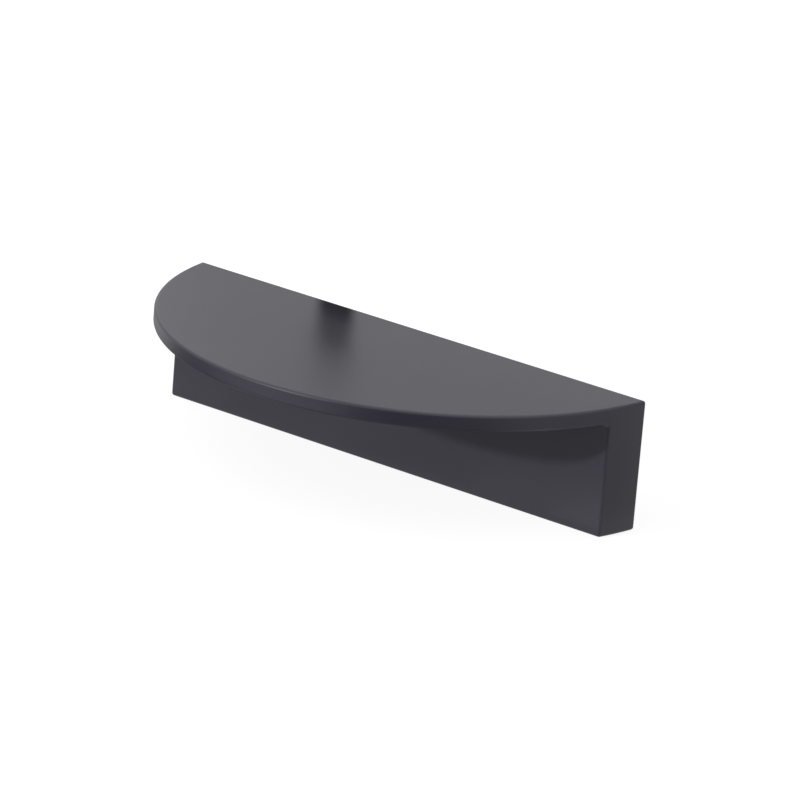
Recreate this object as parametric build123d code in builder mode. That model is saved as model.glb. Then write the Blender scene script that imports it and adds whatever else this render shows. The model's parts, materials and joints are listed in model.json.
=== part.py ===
from build123d import *
from math import radians, tan
import os

# Half-moon drawer pull, cast in one piece. Sizes are in millimetres and degrees.
# X runs along the handle, +Y goes into the drawer front and +Z is up.
# The origin lies midway between the two screw holes, on the back face.

# Outline, seen from above
screw_spacing = 96.0  # from hole to hole
screw_to_end = 7.0  # from each hole to the end of the back edge
projection = 49.5  # from the back face to the middle of the curved front

# Section, seen from the end
screw_to_top = 13.0  # from the line of the holes up to the top of the plate
screw_to_foot = 13.0  # from the line of the holes down to the foot of the wall
plate_thickness = 3.2  # the half-moon plate that the fingers pull on
wall_thickness = 9.2  # the upright wall that takes the screws
root_radius = 0.8  # inside corner, where the plate grows out of the wall
edge_radius = 0.6  # every outer edge, eased for the hand

# Two blind holes, tapped M4 from the back
thread_diameter = 4.0  # at the roots of the thread, which the screw's crests reach
tapping_drill = 3.3  # at the crests of the thread, and beyond it
drill_point = 118.0  # angle of the cone that the drill leaves
metal_before_point = 1.7  # left between the drill's point and the front of the wall
thread_runout = 1.0  # drilled beyond the thread, where the tap can't reach
mouth_diameter = 4.6  # small countersink, so that a screw starts easily
mouth_angle = 90.0

length = screw_spacing + 2 * screw_to_end
height = screw_to_top + screw_to_foot
underside_z = screw_to_top - plate_thickness
point_length = tapping_drill / 2 / tan(radians(drill_point / 2))
drill_depth = wall_thickness - metal_before_point - point_length
thread_depth = drill_depth - thread_runout
back_face = Plane(origin=(0, 0, 0), x_dir=(1, 0, 0), z_dir=(0, 1, 0))

with BuildPart() as pull_handle:
    # The casting has one outline: a straight back, and one arc for its front and both ends
    with BuildSketch(Plane.XY.offset(-screw_to_foot)) as half_moon:
        with BuildLine():
            back = Line((-length / 2, 0), (length / 2, 0))
            ThreePointArc(back @ 1, (0, -projection), back @ 0)
        make_face()
    extrude(amount=height)

    # Room for the fingers, under the plate and in front of the wall
    with BuildSketch(Plane.YZ) as finger_room:
        with Locations((-wall_thickness, underside_z)):
            Rectangle(projection, height, align=(Align.MAX, Align.MAX))
        root = finger_room.vertices().group_by(Axis.X)[-1].sort_by(Axis.Y)[-1]
        fillet(root, root_radius)
    extrude(amount=length, both=True, mode=Mode.SUBTRACT)

    # Every edge is eased, but for the two smooth seams that run along the root of the plate
    seams = pull_handle.edges().filter_by(Axis.X).group_by(Axis.Z)[1:3]
    fillet(pull_handle.edges() - seams[0] - seams[1], edge_radius)

    # Screw holes, sunk from the back face: mouth and thread, then the drill and its point
    with Locations(back_face):
        with GridLocations(screw_spacing, 0, 2, 1):
            CounterSinkHole(thread_diameter / 2, mouth_diameter / 2, thread_depth, mouth_angle)
            Hole(tapping_drill / 2, drill_depth)
            with Locations((0, 0, -drill_depth)):
                Cone(
                    0,
                    tapping_drill / 2,
                    point_length,
                    align=(Align.CENTER, Align.CENTER, Align.MAX),
                    mode=Mode.SUBTRACT,
                )

os.makedirs("parts", exist_ok=True)
pull_handle.part.label = "pull_handle"
export_step(pull_handle.part, "parts/pull_handle.step")
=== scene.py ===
"""Looks of a half-moon drawer pull: one casting in satin graphite lacquer, with two tapped holes.

The handle's length runs along X, its back face is the plane y = 0 and the finger plate is on top.
Lengths are in metres, and angles in degrees, unless a name says otherwise. A direction is given as
an azimuth, 0 in front of the handle and 90 beyond its right end, and an elevation.
"""

import json
import logging
import math
from dataclasses import dataclass
from enum import Enum
from typing import Any

import bmesh
import bpy
from mathutils import Matrix, Vector

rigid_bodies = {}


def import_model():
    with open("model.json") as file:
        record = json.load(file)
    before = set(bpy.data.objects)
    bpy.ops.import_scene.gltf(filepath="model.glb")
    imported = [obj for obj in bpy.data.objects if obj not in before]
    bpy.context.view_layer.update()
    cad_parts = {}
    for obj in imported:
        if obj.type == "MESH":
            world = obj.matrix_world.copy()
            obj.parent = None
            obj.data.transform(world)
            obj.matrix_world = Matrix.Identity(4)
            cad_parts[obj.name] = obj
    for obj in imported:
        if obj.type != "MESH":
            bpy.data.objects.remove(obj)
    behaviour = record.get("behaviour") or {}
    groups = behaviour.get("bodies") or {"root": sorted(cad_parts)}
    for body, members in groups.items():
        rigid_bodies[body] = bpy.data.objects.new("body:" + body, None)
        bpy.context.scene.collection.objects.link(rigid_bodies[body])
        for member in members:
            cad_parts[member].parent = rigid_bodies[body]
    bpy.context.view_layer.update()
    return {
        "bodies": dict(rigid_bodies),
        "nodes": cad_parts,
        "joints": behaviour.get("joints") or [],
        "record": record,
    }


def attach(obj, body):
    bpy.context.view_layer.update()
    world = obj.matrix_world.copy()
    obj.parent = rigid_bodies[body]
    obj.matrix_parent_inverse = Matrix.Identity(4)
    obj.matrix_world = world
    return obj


log = logging.getLogger("drawer_pull")

Colour = tuple[float, float, float, float]

BODY = "root"
MM = 0.001
WHITE: Colour = (1.0, 1.0, 1.0, 1.0)
COOL_WHITE: Colour = (0.96, 0.95, 1.0, 1.0)
UPWARDS = (0.0, 90.0)


class Side(Enum):
    """The two screw holes, by their place along the handle."""

    LEFT = -1
    RIGHT = 1


def toward(azimuth: float, elevation: float) -> Vector:
    """Turns a direction into a unit vector.

    Args:
        azimuth: Degrees round the handle, from its front towards its right end.
        elevation: Degrees above the horizon.

    Returns:
        The unit vector that points that way from the handle.
    """
    turn, rise = math.radians(azimuth), math.radians(elevation)
    return Vector((math.sin(turn) * math.cos(rise), -math.cos(turn) * math.cos(rise), math.sin(rise)))


def link(made: bpy.types.Object) -> bpy.types.Object:
    """Puts an object into the scene and returns it."""
    bpy.context.scene.collection.objects.link(made)
    return made


class Wire:
    """What comes out of a shader node. Arithmetic on one that is a number adds the nodes it needs."""

    def __init__(self, graph: "Graph", socket: bpy.types.NodeSocket) -> None:
        """Keeps the socket that it comes out of.

        Args:
            graph: The node tree that the socket is in.
            socket: The output socket.
        """
        self.graph = graph
        self.socket = socket

    def __add__(self, other: "Term") -> "Wire":
        """Returns self + other."""
        return self.graph.math("ADD", self, other)

    def __radd__(self, other: float) -> "Wire":
        """Returns other + self."""
        return self.graph.math("ADD", other, self)

    def __sub__(self, other: "Term") -> "Wire":
        """Returns self - other."""
        return self.graph.math("SUBTRACT", self, other)

    def __rsub__(self, other: float) -> "Wire":
        """Returns other - self."""
        return self.graph.math("SUBTRACT", other, self)

    def __mul__(self, other: "Term") -> "Wire":
        """Returns self * other."""
        return self.graph.math("MULTIPLY", self, other)

    def __rmul__(self, other: float) -> "Wire":
        """Returns other * self."""
        return self.graph.math("MULTIPLY", other, self)

    def __pow__(self, other: float) -> "Wire":
        """Returns self to the power of other."""
        return self.graph.math("POWER", self, other)

    def __abs__(self) -> "Wire":
        """Returns the size of self without its sign."""
        return self.graph.math("ABSOLUTE", self)

    def rises(self, start: float, end: float) -> "Wire":
        """Makes a mask of this number.

        Args:
            start: The number at which the mask is 0.
            end: The number at which the mask is 1, which may be below start.

        Returns:
            A number from 0 to 1 that changes smoothly between the two.
        """
        low, high = min(start, end), max(start, end)
        node = self.graph.node(
            "ShaderNodeMapRange",
            {"interpolation_type": "SMOOTHSTEP"},
            {"Value": self, "From Min": low, "From Max": high},
        )
        mask = self.graph.wire(node)
        return mask if start < end else 1.0 - mask


Term = Wire | float


class Graph:
    """The node tree of a material or of the world, built from nothing."""

    def __init__(self, tree: bpy.types.NodeTree) -> None:
        """Empties the tree.

        Args:
            tree: The node tree to build in.
        """
        self.tree = tree
        tree.nodes.clear()

    def node(
        self, kind: str, settings: dict[str, Any] | None = None, inputs: dict[str | int, Any] | None = None
    ) -> bpy.types.Node:
        """Adds one node.

        Args:
            kind: The node's type.
            settings: Its settings, which are set before its sockets.
            inputs: The number, colour or Wire of each of its input sockets.

        Returns:
            The new node.
        """
        made = self.tree.nodes.new(kind)
        for name, value in (settings or {}).items():
            setattr(made, name, value)
        for name, value in (inputs or {}).items():
            if isinstance(value, Wire):
                self.tree.links.new(value.socket, made.inputs[name])
            else:
                made.inputs[name].default_value = value
        return made

    def wire(self, node: bpy.types.Node, output: str | int = 0) -> Wire:
        """Returns one output of a node as a Wire."""
        return Wire(self, node.outputs[output])

    def math(self, operation: str, *terms: Term) -> Wire:
        """Adds a Math node.

        Args:
            operation: What the node works out.
            *terms: The numbers or Wires that it works on.

        Returns:
            The result.
        """
        return self.wire(self.node("ShaderNodeMath", {"operation": operation}, dict(enumerate(terms))))

    def stretched(self, vector: Wire, scale: tuple[float, float, float]) -> Wire:
        """Multiplies a vector by one factor for each axis.

        Args:
            vector: The vector.
            scale: The factors.

        Returns:
            The new vector.
        """
        return self.wire(self.node("ShaderNodeVectorMath", {"operation": "MULTIPLY"}, {0: vector, 1: scale}))

    def noise(self, vector: Wire, per_mm: float, detail: float = 2.0, roughness: float = 0.5) -> Wire:
        """Adds a cloudy pattern.

        Args:
            vector: Where on the surface, in millimetres.
            per_mm: How many blotches there are to a millimetre.
            detail: How many finer layers lie on the first.
            roughness: How strong those layers are.

        Returns:
            The pattern, a number near 0.5 that seldom leaves the range from 0.2 to 0.8.
        """
        sockets = {"Vector": vector, "Scale": per_mm, "Detail": detail, "Roughness": roughness}
        return self.wire(self.node("ShaderNodeTexNoise", {"noise_dimensions": "3D"}, sockets))

    def blend(self, share: Wire, first: Wire | Colour, second: Wire | Colour) -> Wire:
        """Mixes two colours.

        Args:
            share: 0 for the first colour and 1 for the second.
            first: A colour or a Wire of one.
            second: A colour or a Wire of one.

        Returns:
            The mixed colour.
        """
        node = self.node("ShaderNodeMix", {"data_type": "RGBA"}, {0: share, 6: first, 7: second})
        return self.wire(node, 2)

    def bump(self, height_um: Wire) -> Wire:
        """Turns a height in micrometres into a normal."""
        node = self.node("ShaderNodeBump", None, {"Strength": 1.0, "Distance": 1e-6, "Height": height_um})
        return self.wire(node)

    def mixed(self, share: Wire, first: Wire, second: Wire) -> Wire:
        """Mixes two shaders, 0 for the first and 1 for the second."""
        return self.wire(self.node("ShaderNodeMixShader", None, {0: share, 1: first, 2: second}))

    def place_mm(self) -> Wire:
        """Returns the place on the surface, in the object's own coordinates and in millimetres."""
        where = self.wire(self.node("ShaderNodeTexCoord"), "Object")
        return self.stretched(where, (1 / MM, 1 / MM, 1 / MM))

    def axes(self, vector: Wire) -> tuple[Wire, Wire, Wire]:
        """Splits a vector into its x, y and z."""
        node = self.node("ShaderNodeSeparateXYZ", None, {0: vector})
        return self.wire(node, 0), self.wire(node, 1), self.wire(node, 2)

    def from_behind(self) -> Wire:
        """Returns 1 where a surface is seen from behind, and 0 elsewhere."""
        return self.wire(self.node("ShaderNodeNewGeometry"), "Backfacing")

    def background_rays(self) -> Wire:
        """Picks out the rays that show a background.

        Returns:
            1 for the camera's rays and for those off gloss or through glass, and 0 for the others.
        """
        path = self.node("ShaderNodeLightPath")
        rays = [self.wire(path, f"Is {kind} Ray") for kind in ("Camera", "Glossy", "Transmission")]
        return self.math("MAXIMUM", self.math("MAXIMUM", rays[0], rays[1]), rays[2])

    def end(self, shader: Wire, kind: str = "ShaderNodeOutputMaterial") -> None:
        """Leads a shader to the output.

        Args:
            shader: The finished shader.
            kind: The output node's type.
        """
        self.node(kind, None, {"Surface": shader})


def new_material(name: str) -> tuple[bpy.types.Material, Graph]:
    """Makes an empty material.

    Args:
        name: The material's name.

    Returns:
        The material and its node tree.
    """
    made = bpy.data.materials.new(name)
    made.use_nodes = True
    return made, Graph(made.node_tree)


def stage_sheet(name: str, place: Matrix, paper: bpy.types.Material) -> bpy.types.Object:
    """Puts a flat sheet beside or under the handle, as part of the studio.

    Args:
        name: The sheet's name.
        place: What takes a level square of 2 m round the origin to the sheet's size and place.
        paper: The sheet's material.

    Returns:
        The sheet.
    """
    mesh = bmesh.new()
    bmesh.ops.create_grid(mesh, x_segments=1, y_segments=1, size=1.0, matrix=place)
    data = bpy.data.meshes.new(name)
    mesh.to_mesh(data)
    mesh.free()
    data.materials.append(paper)
    sheet = link(bpy.data.objects.new(name, data))
    return sheet


@dataclass(frozen=True)
class CutZinc:
    """Bare zinc alloy that a drill and a tap have cut, with the rings that their edges leave."""

    colour: Colour = (0.52, 0.52, 0.54, 1.0)
    oxide: Colour = (0.36, 0.36, 0.37, 1.0)
    oxide_per_mm: float = 1.4
    roughness: float = 0.30
    dull_per_mm: float = 2.5
    dull_thread: float = 0.16
    dull_bore: float = 0.20
    ring_per_mm: float = 9.0
    ring_drawn_out: tuple[float, float, float] = (0.12, 1.0, 0.12)
    ring_um: float = 3.0

    def tint(self, graph: Graph, place: Wire) -> Wire:
        """Returns the metal's colour, clouded by a thin oxide."""
        cloud = graph.noise(place, self.oxide_per_mm, 3.0).rises(0.35, 0.75)
        return graph.blend(cloud, self.colour, self.oxide)

    def rings(self, graph: Graph, place: Wire) -> Wire:
        """Returns the height of the cutting rings, in micrometres, which run round the bore."""
        along = graph.stretched(place, self.ring_drawn_out)
        return graph.noise(along, self.ring_per_mm, 2.0) * self.ring_um

    def bore(self, graph: Graph, place: Wire) -> Wire:
        """Returns the roughness of the bore's own wall."""
        return graph.noise(place, self.dull_per_mm, 3.0) * self.dull_bore + self.roughness

    def material(self) -> bpy.types.Material:
        """Makes the finish of the screw threads.

        Returns:
            The material.
        """
        made, graph = new_material("tapped_zinc_alloy")
        place = graph.place_mm()
        dull = graph.noise(place, self.dull_per_mm, 3.0).rises(0.3, 0.8)
        shader = graph.node(
            "ShaderNodeBsdfPrincipled",
            None,
            {
                "Base Color": self.tint(graph, place),
                "Metallic": 1.0,
                "Roughness": dull * self.dull_thread + self.roughness,
                "Normal": graph.bump(self.rings(graph, place)),
            },
        )
        graph.end(graph.wire(shader))
        return made


@dataclass(frozen=True)
class SatinLacquer:
    """Satin graphite lacquer with a faint violet cast, sprayed over the casting but not into its holes.

    What ends in _dulls is added to the roughness. A fade is the two places, in millimetres, between
    which a mask goes from 0 to 1: outwards from the rim of a hole's mouth, or along the depth.
    """

    colour: Colour = (0.0203, 0.0181, 0.0302, 1.0)
    pale: Colour = (0.0240, 0.0215, 0.0350, 1.0)
    roughness: float = 0.40
    ior: float = 1.45
    gloss_tint: Colour = (0.965, 0.960, 1.0, 1.0)
    drift_per_mm: float = 0.045
    drift_dulls: float = 0.05
    peel_per_mm: float = 0.85
    peel_um: float = 2.6
    grain_per_mm: float = 6.5
    grain_um: float = 0.55
    grain_dulls: float = 0.06
    edge_pales: float = 0.22
    edge_dulls: float = 0.10
    linish_per_mm: float = 2.0
    linish_drawn_out: tuple[float, float, float] = (0.035, 1.0, 1.0)
    linish_um: float = 5.0
    linish_dulls: float = 0.12
    ragged_per_mm: float = 3.0
    ragged_mm: float = 0.12
    rim_fade: tuple[float, float] = (0.02, -0.04)
    mouth_fade: tuple[float, float] = (-0.02, -0.08)
    bottom_fade: tuple[float, float] = (-8.6, -8.2)
    back_fade: tuple[float, float] = (-0.03, -0.01)

    def thin_edges(self, graph: Graph) -> Wire:
        """Finds the eased edges of the plate and of the foot, over which the lacquer draws thin.

        Args:
            graph: The material's node tree.

        Returns:
            1 halfway round such an edge, and 0 where the surface is level or upright.
        """
        facing = graph.wire(graph.node("ShaderNodeNewGeometry"), "Normal")
        level = abs(graph.axes(facing)[2])
        return level * level * (1.0 - level * level) * 4.0

    def bare_holes(self, graph: Graph, place: Wire, holes: "ScrewHoles") -> Wire:
        """Finds the insides of the screw holes, which the lacquer leaves bare.

        Args:
            graph: The material's node tree.
            place: Where on the surface, in millimetres.
            holes: The screw holes.

        Returns:
            1 inside a hole and 0 outside, with a ragged line between them.
        """
        across, depth, up = graph.axes(place)
        ragged = graph.noise(place, self.ragged_per_mm, 2.0) * self.ragged_mm
        reach = ((abs(across) - holes.offset / MM) ** 2.0 + up * up) ** 0.5
        bored = (reach + ragged).rises(*(holes.mouth_radius / MM + out for out in self.rim_fade))
        return bored * depth.rises(*self.mouth_fade) * depth.rises(*self.bottom_fade)

    def material(self, bare: CutZinc, holes: "ScrewHoles") -> bpy.types.Material:
        """Makes the lacquer.

        Args:
            bare: The metal that shows where there is no lacquer.
            holes: The screw holes, which the lacquer leaves bare.

        Returns:
            The material.
        """
        made, graph = new_material("satin_graphite_lacquer")
        place = graph.place_mm()
        edge = self.thin_edges(graph)
        inside = self.bare_holes(graph, place, holes)
        back = graph.axes(place)[1].rises(*self.back_fade) * (1.0 - inside)

        # Three scales of spray, and the streaks that the linishing belt left on the back
        drift = graph.noise(place, self.drift_per_mm, 2.0)
        peel = graph.noise(place, self.peel_per_mm, 1.0)
        grain = graph.noise(place, self.grain_per_mm, 2.0, 0.6)
        streaks = graph.noise(graph.stretched(place, self.linish_drawn_out), self.linish_per_mm, 4.0, 0.65)

        thin = (drift * 0.5 + grain * 0.5 + edge * self.edge_pales).rises(0.3, 0.75)
        matt = (drift - 0.5) * self.drift_dulls + (grain - 0.5) * self.grain_dulls + self.roughness
        sprayed = matt + edge * self.edge_dulls + back * streaks * self.linish_dulls
        height = peel * self.peel_um + grain * self.grain_um + streaks * back * self.linish_um
        shade = graph.blend(thin, self.colour, self.pale)
        shader = graph.node(
            "ShaderNodeBsdfPrincipled",
            None,
            {
                "Base Color": graph.blend(inside, shade, bare.tint(graph, place)),
                "Metallic": inside,
                "Roughness": sprayed * (1.0 - inside) + bare.bore(graph, place) * inside,
                "IOR": self.ior,
                "Specular Tint": self.gloss_tint,
                "Normal": graph.bump(height * (1.0 - inside) + bare.rings(graph, place) * inside),
            },
        )
        graph.end(graph.wire(shader))
        return made


@dataclass
class ScrewHoles:
    """The two blind screw holes in the back, each tapped M4: the ridges of their threads.

    The ridge is tucked a little into the metal that it stands on, and its end is buried in the step
    where the bore narrows.
    """

    offset: float = 48 * MM
    mouth_radius: float = 2.3 * MM
    major_radius: float = 2.0 * MM
    crest_radius: float = 1.66 * MM
    pitch: float = 0.7 * MM
    root_share: float = 7 / 8
    thread_depth: float = 5.51 * MM
    runs_on: float = 0.4 * MM
    tuck: float = 0.02 * MM
    weld: float = 1e-8
    flank_angle: float = 30.0
    crease_angle: float = 25.0
    steps_per_turn: int = 72
    flank_parts: int = 3

    def profile(self) -> list[tuple[float, float]]:
        """Draws the ridge's section.

        Returns:
            Its corners in order, each as a radius and a place along the hole.
        """
        slope = math.tan(math.radians(self.flank_angle))
        root_half = self.pitch * self.root_share / 2
        outer = self.major_radius + self.tuck
        flank = []
        for part in range(self.flank_parts + 1):
            radius = outer + (self.crest_radius - outer) * part / self.flank_parts
            flank.append((radius, root_half - (self.major_radius - radius) * slope))
        return flank + [(radius, -along) for radius, along in reversed(flank)]

    def sweep(self, centre: Vector) -> bmesh.types.BMesh:
        """Winds the ridge's section down the hole.

        Args:
            centre: The middle of the hole's mouth.

        Returns:
            The thread, closed at both ends.
        """
        mesh = bmesh.new()
        ring = [mesh.verts.new(centre + Vector((radius, along, 0.0))) for radius, along in self.profile()]
        edges = [mesh.edges.new((ring[i], ring[(i + 1) % len(ring)])) for i in range(len(ring))]
        steps = round((self.thread_depth + self.runs_on) / self.pitch * self.steps_per_turn)
        swept = bmesh.ops.spin(
            mesh,
            geom=ring + edges,
            cent=centre,
            axis=(0.0, 1.0, 0.0),
            dvec=(0.0, -self.pitch / self.steps_per_turn, 0.0),
            angle=-math.tau * steps / self.steps_per_turn,
            steps=steps,
        )
        last = [part for part in swept["geom_last"] if isinstance(part, bmesh.types.BMEdge)]
        for end in (edges, last):
            bmesh.ops.contextual_create(mesh, geom=end)
        return mesh

    def fit_mouth(self, mesh: bmesh.types.BMesh, centre: Vector) -> None:
        """Cuts the first turn back to the cone of the hole's mouth.

        Args:
            mesh: The thread.
            centre: The middle of the hole's mouth.
        """
        for vert in mesh.verts:
            arm = Vector((vert.co.x - centre.x, 0.0, vert.co.z - centre.z))
            cone = self.mouth_radius + vert.co.y
            if arm.length < cone:
                arm.length = cone + self.tuck
            vert.co = Vector((centre.x + arm.x, min(vert.co.y, -self.tuck), centre.z + arm.z))

    def build_thread(self, side: Side, metal: bpy.types.Material) -> bpy.types.Object:
        """Makes the thread of one hole.

        Args:
            side: Which hole.
            metal: The bare metal of the thread.

        Returns:
            The finished piece.
        """
        centre = Vector((side.value * self.offset, 0.0, 0.0))
        mesh = self.sweep(centre)
        self.fit_mouth(mesh, centre)
        bmesh.ops.remove_doubles(mesh, verts=mesh.verts, dist=self.weld)
        bmesh.ops.recalc_face_normals(mesh, faces=mesh.faces)
        for face in mesh.faces:
            face.smooth = True
        for edge in mesh.edges:
            edge.smooth = edge.calc_face_angle(0.0) < math.radians(self.crease_angle)
        name = f"screw_thread_{side.name.lower()}"
        data = bpy.data.meshes.new(name)
        mesh.to_mesh(data)
        mesh.free()
        data.materials.append(metal)
        piece = link(bpy.data.objects.new(name, data))
        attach(piece, BODY)
        return piece


@dataclass
class PullHandle:
    """The casting and what is cut into it."""

    node: str = "pull_handle"

    def dress(self, frame: dict[str, Any], lacquer: SatinLacquer, zinc: CutZinc, holes: ScrewHoles) -> None:
        """Gives the casting its lacquer and its threads.

        Args:
            frame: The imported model.
            lacquer: The finish outside.
            zinc: The finish inside the holes.
            holes: The screw holes.
        """
        casting = frame["nodes"][self.node]
        finish = lacquer.material(zinc, holes)
        for slot in casting.material_slots:
            slot.material = finish
        log.info("%s: dressed in %s", casting.name, finish.name)
        metal = zinc.material()
        for side in Side:
            piece = holes.build_thread(side, metal)
            log.info("%s: %d faces", piece.name, len(piece.data.polygons))


@dataclass(frozen=True)
class Lamp:
    """A soft lamp that faces the handle from a given direction. Its power is in watts."""

    name: str
    azimuth: float
    elevation: float
    width: float
    height: float
    power: float
    distance: float
    round: bool = False

    def build(self, target: Vector) -> bpy.types.Object:
        """Puts the lamp up.

        Args:
            target: The point that it faces.

        Returns:
            The lamp.
        """
        light = bpy.data.lights.new(self.name, "AREA")
        light.shape = "ELLIPSE" if self.round else "RECTANGLE"
        light.size, light.size_y = self.width, self.height
        light.energy = self.power
        lamp = link(bpy.data.objects.new(self.name, light))
        away = toward(self.azimuth, self.elevation)
        lamp.location = target + away * self.distance
        lamp.rotation_euler = away.to_track_quat("Z", "Y").to_euler()
        lamp.visible_camera = False
        return lamp


@dataclass(frozen=True)
class Card:
    """A card beside the set, out of the picture, which shows only in the handle's gloss.

    It is black unless it glows. A one-sided card is clear from behind. A soft one fades out over a share of
    its width, at either side, and of its height, at the top, so that the reflection that it paints has soft
    edges.
    """

    name: str
    centre: tuple[float, float, float]
    faces: tuple[float, float]
    width: float
    height: float
    glow: float = 0.0
    tint: Colour = WHITE
    one_sided: bool = False
    soft: bool = False
    side_fade: float = 0.30
    top_fade: float = 0.55

    def paper(self) -> bpy.types.Material:
        """Makes what the card is cut from.

        Returns:
            The material.
        """
        made, graph = new_material(self.name)
        glowing = graph.node("ShaderNodeEmission", None, {"Color": self.tint, "Strength": self.glow})
        shade = graph.wire(glowing)
        clear = graph.wire(graph.node("ShaderNodeBsdfTransparent", None, {"Color": WHITE}))
        if self.one_sided:
            shade = graph.mixed(graph.from_behind(), shade, clear)
        if self.soft:
            across, _, up = graph.axes(graph.wire(graph.node("ShaderNodeTexCoord"), "Generated"))
            sides = across.rises(0.0, self.side_fade) * across.rises(1.0, 1.0 - self.side_fade)
            shade = graph.mixed(sides * up.rises(1.0, 1.0 - self.top_fade), clear, shade)
        graph.end(shade)
        return made

    def build(self) -> bpy.types.Object:
        """Puts the card up.

        Returns:
            The card.
        """
        turn = toward(*self.faces).to_track_quat("Z", "Y").to_matrix().to_4x4()
        shape = Matrix.Diagonal((self.width / 2, self.height / 2, 1.0, 1.0))
        card = stage_sheet(self.name, Matrix.Translation(self.centre) @ turn @ shape, self.paper())
        card.visible_camera = card.visible_diffuse = False
        card.visible_shadow = card.visible_transmission = False
        return card


@dataclass(frozen=True)
class Floor:
    """A pale floor under the handle.

    From above, and in gloss, it shows white but for the handle's soft shadow: a grey that takes the
    shadow, under a glow. From below it is clear.
    """

    level: float = -13.0 * MM
    gap: float = 0.02 * MM
    half_width: float = 3.0
    colour: Colour = (0.80, 0.80, 0.80, 1.0)
    shown: Colour = (0.35, 0.35, 0.35, 1.0)
    glow: float = 0.86

    def paper(self) -> bpy.types.Material:
        """Makes what the floor is covered with.

        Returns:
            The material.
        """
        made, graph = new_material("pale_floor")
        plain = graph.wire(graph.node("ShaderNodeBsdfDiffuse", None, {"Color": self.colour}))
        faint = graph.wire(graph.node("ShaderNodeBsdfDiffuse", None, {"Color": self.shown}))
        white = graph.wire(graph.node("ShaderNodeEmission", None, {"Color": WHITE, "Strength": self.glow}))
        bright = graph.wire(graph.node("ShaderNodeAddShader", None, {0: faint, 1: white}))
        clear = graph.wire(graph.node("ShaderNodeBsdfTransparent", None, {"Color": WHITE}))
        top = graph.mixed(graph.background_rays(), plain, bright)
        graph.end(graph.mixed(graph.from_behind(), top, clear))
        return made

    def build(self) -> bpy.types.Object:
        """Lays the floor.

        Returns:
            The floor.
        """
        place = Matrix.Translation((0.0, 0.0, self.level - self.gap))
        shape = Matrix.Diagonal((self.half_width, self.half_width, 1.0, 1.0))
        return stage_sheet("floor", place @ shape, self.paper())


@dataclass(frozen=True)
class Surroundings:
    """White all round, which lights the handle less than it shows."""

    fill: float = 0.4

    def build(self) -> bpy.types.World:
        """Makes the surroundings and puts them into the scene.

        Returns:
            The world.
        """
        world = bpy.data.worlds.new("white_surroundings")
        world.use_nodes = True
        graph = Graph(world.node_tree)
        strength = graph.background_rays() * (1.0 - self.fill) + self.fill
        sky = graph.node("ShaderNodeBackground", None, {"Color": WHITE, "Strength": strength})
        graph.end(graph.wire(sky), "ShaderNodeOutputWorld")
        bpy.context.scene.world = world
        return world


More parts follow.
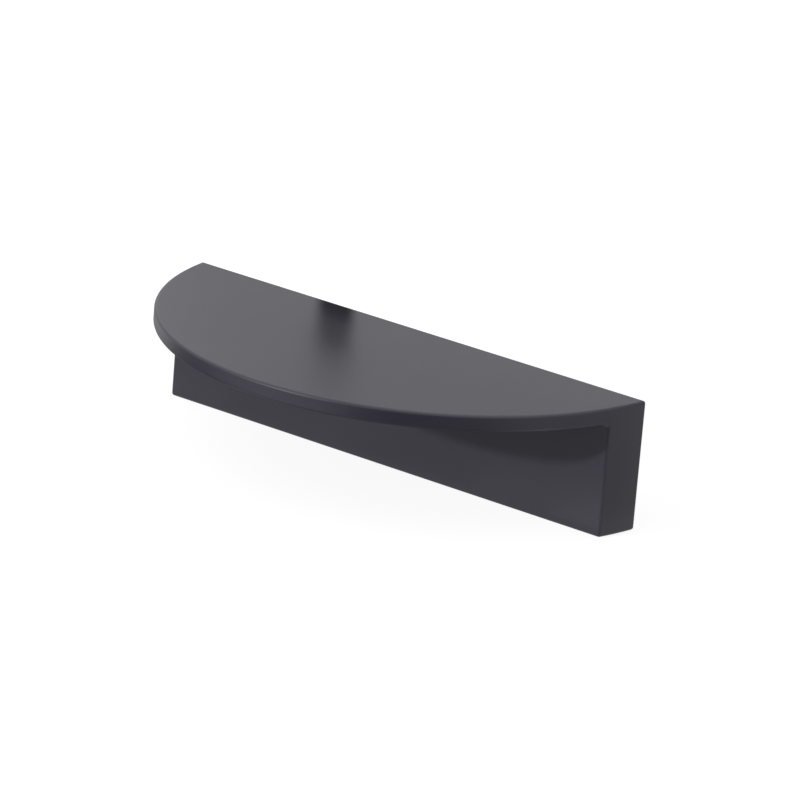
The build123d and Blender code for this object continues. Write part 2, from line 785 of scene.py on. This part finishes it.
@dataclass
class Studio:
    """The floor, the lamps and the cards round the handle."""

    target: tuple[float, float, float] = (0.0, -22 * MM, 0.0)
    floor: Floor = Floor()
    surroundings: Surroundings = Surroundings()
    lamps: tuple[Lamp, ...] = (
        Lamp("key_lamp", -24.0, 16.6, 0.15, 0.15, 46.7, 3.0, round=True),
        Lamp("high_softbox", -30.0, 55.0, 0.87, 0.72, 0.905, 1.3),
        Lamp("left_lamp", -115.0, 30.0, 0.10, 0.10, 0.0172, 0.20),
    )
    cards: tuple[Card, ...] = (
        Card("floor_flag", (82 * MM, -150 * MM, -12 * MM), UPWARDS, 120 * MM, 156 * MM, 0.14),
        Card("left_flag", (-105 * MM, -92 * MM, -12 * MM), UPWARDS, 70 * MM, 100 * MM, 0.28),
        Card("foot_card", (40 * MM, -50 * MM, -12 * MM), UPWARDS, 120 * MM, 36 * MM, 0.40),
        Card("left_foot_card", (-65 * MM, -50 * MM, -12 * MM), UPWARDS, 80 * MM, 36 * MM, 0.07),
        Card("near_left_card", (-28 * MM, -21 * MM, -12 * MM), UPWARDS, 30 * MM, 21 * MM, 0.89),
        Card("near_middle_card", (4 * MM, -21 * MM, -12 * MM), UPWARDS, 32 * MM, 21 * MM, 0.78),
        Card("near_right_card", (57 * MM, -21 * MM, -12 * MM), UPWARDS, 34 * MM, 21 * MM, 1.2),
        Card(
            "left_finger_card",
            (-38 * MM, -25 * MM, -2 * MM),
            (0.0, 53.0),
            56 * MM,
            36 * MM,
            0.50,
            one_sided=True,
        ),
        Card(
            "right_finger_card",
            (18 * MM, -25 * MM, -2 * MM),
            (0.0, 53.0),
            56 * MM,
            36 * MM,
            0.15,
            one_sided=True,
        ),
        Card("front_flag", (170 * MM, -280 * MM, 15 * MM), (32.0, 0.0), 420 * MM, 60 * MM),
        Card("front_high_flag", (0.0, -0.655, 0.459), (0.0, 35.0), 1.8, 0.254),
        Card("overhead_softbox", (0.0, 0.0, 0.80), UPWARDS, 2.4, 1.656, 2.0),
        Card("rear_high_flag", (0.0, 0.655, 0.459), (180.0, 35.0), 1.8, 0.254),
        Card("rear_left_softbox", (-0.45, 0.765, 0.234), (180.0, 17.0), 0.9, 0.254, 1.5, COOL_WHITE),
        Card("rear_right_flag", (0.45, 0.765, 0.234), (180.0, 17.0), 0.9, 0.254),
        Card("right_floor_card", (100 * MM, 20 * MM, -12 * MM), UPWARDS, 80 * MM, 80 * MM, 0.80),
        # A dark, soft-edged sheet behind the back edge, seen only in gloss: it paints a dark reflection, a
        # smudge, onto the plate's top near its back edge
        Card(
            "rear_dark_reflection_card",
            (-20 * MM, -0.65 * MM, 19.2 * MM),
            (0.0, 0.0),
            12.4 * MM,
            12.6 * MM,
            one_sided=True,
            soft=True,
        ),
    )

    def build(self) -> None:
        """Puts up the whole studio."""
        self.floor.build()
        self.surroundings.build()
        for lamp in self.lamps:
            lamp.build(Vector(self.target))
            log.info("%s: azimuth %.0f, elevation %.0f", lamp.name, lamp.azimuth, lamp.elevation)
        for card in self.cards:
            card.build()
            log.info("%s: %.3f by %.3f m", card.name, card.width, card.height)


@dataclass(frozen=True)
class PhotoCamera:
    """The camera, as it stood for the photograph.

    The pivot is the middle of the back edge of the handle's foot. In the picture it lies to the right
    of the centre, by aside, and below it, by down.
    """

    azimuth: float = 36.51247
    elevation: float = 18.55605
    roll: float = 4.72801
    distance: float = 1.046142
    aside: float = 1.51746 * MM
    down: float = 10.72022 * MM
    pivot: tuple[float, float, float] = (0.0, 0.0, -13 * MM)
    lens: float = 239.53865
    sensor: float = 36.0

    def build(self) -> bpy.types.Object:
        """Makes the scene's camera.

        Returns:
            The camera.
        """
        back = toward(self.azimuth, self.elevation)
        level_right = Vector((0.0, 0.0, 1.0)).cross(back).normalized()
        level_up = back.cross(level_right)
        tilt = math.radians(self.roll)
        right = math.cos(tilt) * level_right + math.sin(tilt) * level_up
        up = math.cos(tilt) * level_up - math.sin(tilt) * level_right
        place = Vector(self.pivot) + self.distance * back - self.aside * right + self.down * up
        data = bpy.data.cameras.new("photo_camera")
        data.lens, data.sensor_width = self.lens, self.sensor
        camera = link(bpy.data.objects.new("photo_camera", data))
        turned = Matrix((right, up, back)).transposed().to_4x4()
        camera.matrix_world = Matrix.Translation(place) @ turned
        bpy.context.scene.camera = camera
        return camera


def clear_startup_scene() -> None:
    """Removes what Blender starts with."""
    for leftover in list(bpy.data.objects):
        bpy.data.objects.remove(leftover)


def main() -> None:
    """Dresses the handle and sets it in the studio."""
    logging.basicConfig(level=logging.INFO, format="%(message)s")
    clear_startup_scene()
    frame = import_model()
    PullHandle().dress(frame, SatinLacquer(), CutZinc(), ScrewHoles())
    Studio().build()
    PhotoCamera().build()
    bpy.context.scene.view_settings.view_transform = "Standard"


if __name__ == "__main__":
    main()
